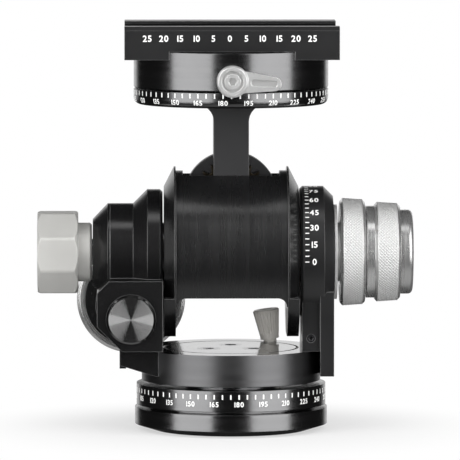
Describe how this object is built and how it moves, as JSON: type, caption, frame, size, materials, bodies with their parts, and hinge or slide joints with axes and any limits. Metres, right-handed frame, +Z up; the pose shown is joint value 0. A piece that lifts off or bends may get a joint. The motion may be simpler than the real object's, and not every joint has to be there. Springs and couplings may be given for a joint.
{
  "type": "geared tripod head",
  "caption": "Geared tripod head: pan base, worm-driven pitch and roll with release collars, lock knobs and a panning dovetail clamp for a camera plate.",
  "frame": {"origin": "mouth of the tripod thread in the middle of the base's bottom face", "axes": "+Z up along the pan axis, -Y to the front where the lever and the worm cap are, +X towards the double knob on the pitch axis"},
  "size_m": [0.1149, 0.1023, 0.1245],
  "materials": {
    "black_anodised": "satin",
    "grey_anodised": "satin",
    "silver_anodised": "satin",
    "brass": "machined",
    "plastic": "matt",
    "steel": "turned"
  },
  "bodies": {
    "base": {"base_body": "black_anodised", "thread_insert": "brass", "pan_dial_ring": "black_anodised", "pan_retainer": "silver_anodised", "retainer_screws": "steel", "pan_thrust_washer": "plastic"},
    "turntable": {"turntable": "grey_anodised", "pan_spindle": "steel", "spindle_screws": "steel", "pan_brake_shoe": "brass", "right_arm": "black_anodised", "arm_set_screw": "steel", "gear_housing": "black_anodised", "housing_cover": "black_anodised", "arm_screws": "steel", "right_bush": "brass", "left_bush": "brass", "worm_cap": "black_anodised", "pitch_worm_bushes": "brass", "pitch_brake_pad": "plastic", "rear_sleeve": "black_anodised", "pitch_release_spring": "steel"},
    "pan_lock": {"pan_lock_knob": "silver_anodised"},
    "pitch_lock": {"pitch_lock_knob": "silver_anodised", "pitch_lock_screw": "steel"},
    "pitch_drive": {"pitch_worm": "steel", "pitch_fine_knob": "silver_anodised", "pitch_knob_cap": "silver_anodised"},
    "pitch_release": {"pitch_release_collar": "silver_anodised"},
    "drum": {"drum": "black_anodised", "left_cheek": "black_anodised", "right_cheek": "black_anodised", "cheek_screws": "steel", "left_trunnion": "steel", "pitch_wheel": "brass", "right_trunnion": "silver_anodised", "roll_pin": "steel", "roll_worm_bushes": "brass", "roll_release_spring": "steel"},
    "roll_drive": {"roll_worm": "steel", "roll_fine_knob": "silver_anodised", "roll_knob_cap": "silver_anodised"},
    "roll_release": {"roll_release_collar": "silver_anodised"},
    "stem": {"stem": "grey_anodised", "roll_gear": "brass", "roll_gear_screws": "steel", "clamp_dial": "black_anodised", "clamp_spindle": "steel", "clamp_spindle_bolt": "steel"},
    "clamp": {"clamp_drum": "black_anodised", "clamp_plate": "black_anodised", "plate_screws": "steel", "clamp_brake_shoe": "brass", "jaw_guide_pins": "steel"},
    "clamp_jaw": {"clamp_jaw": "black_anodised"},
    "clamp_knob": {"clamp_screw": "steel", "clamp_knob": "silver_anodised"},
    "clamp_lever": {"clamp_lever": "silver_anodised", "lever_screw": "steel"}
  },
  "joints": [
    {"name": "pan", "type": "hinge", "parent": "base", "child": "turntable", "pos_m": [0, 0, 0.02], "axis": [0, 0, 1], "continuous": true},
    {"name": "pan_lock_turn", "type": "hinge", "parent": "turntable", "child": "pan_lock", "pos_m": [0.0125, 0.0202, 0.025], "axis": [-0.1392, 0, 0.9903], "range_deg": [0, 360]},
    {"name": "pitch_lock_turn", "type": "hinge", "parent": "turntable", "child": "pitch_lock", "pos_m": [-0.05, 0, 0.0544], "axis": [-1, 0, 0], "range_deg": [0, 270]},
    {"name": "pitch", "type": "hinge", "parent": "turntable", "child": "drum", "pos_m": [0, 0, 0.0544], "axis": [1, 0, 0], "range_deg": [-30, 90]},
    {"name": "pitch_knob_turn", "type": "hinge", "parent": "turntable", "child": "pitch_drive", "pos_m": [-0.0307, 0, 0.0359], "axis": [0, 1, 0], "range_deg": [-2160, 720]},
    {"name": "pitch_release_turn", "type": "hinge", "parent": "turntable", "child": "pitch_release", "pos_m": [-0.0307, 0.049, 0.0359], "axis": [0, 1, 0], "range_deg": [0, 45], "stiffness_Nm_per_rad": 0.2},
    {"name": "roll", "type": "hinge", "parent": "drum", "child": "stem", "pos_m": [0, 0, 0.0705], "axis": [0, 1, 0], "range_deg": [-30, 30]},
    {"name": "roll_knob_turn", "type": "hinge", "parent": "drum", "child": "roll_drive", "pos_m": [0, 0, 0.0544], "axis": [1, 0, 0], "range_deg": [-720, 720]},
    {"name": "roll_release_turn", "type": "hinge", "parent": "drum", "child": "roll_release", "pos_m": [0.037, 0, 0.0544], "axis": [1, 0, 0], "range_deg": [0, 45], "stiffness_Nm_per_rad": 0.2},
    {"name": "clamp_pan", "type": "hinge", "parent": "stem", "child": "clamp", "pos_m": [0, 0, 0.11], "axis": [0, 0, 1], "continuous": true},
    {"name": "jaw_slide", "type": "slide", "parent": "clamp", "child": "clamp_jaw", "axis": [0, 1, 0], "range_m": [0, 0.004]},
    {"name": "clamp_knob_turn", "type": "hinge", "parent": "clamp_jaw", "child": "clamp_knob", "pos_m": [0, 0.042, 0.113], "axis": [0, 1, 0], "range_deg": [0, 1440]},
    {"name": "clamp_lever_turn", "type": "hinge", "parent": "clamp", "child": "clamp_lever", "pos_m": [0, -0.032, 0.1084], "axis": [0, 1, 0], "range_deg": [0, 75]}
  ],
  "couplings": [
    {"joint": "pitch_knob_turn", "follows": "pitch", "ratio": -24},
    {"joint": "roll_knob_turn", "follows": "roll", "ratio": 24},
    {"joint": "clamp_knob_turn", "follows": "jaw_slide", "rad_per_m": 6283.2}
  ]
}
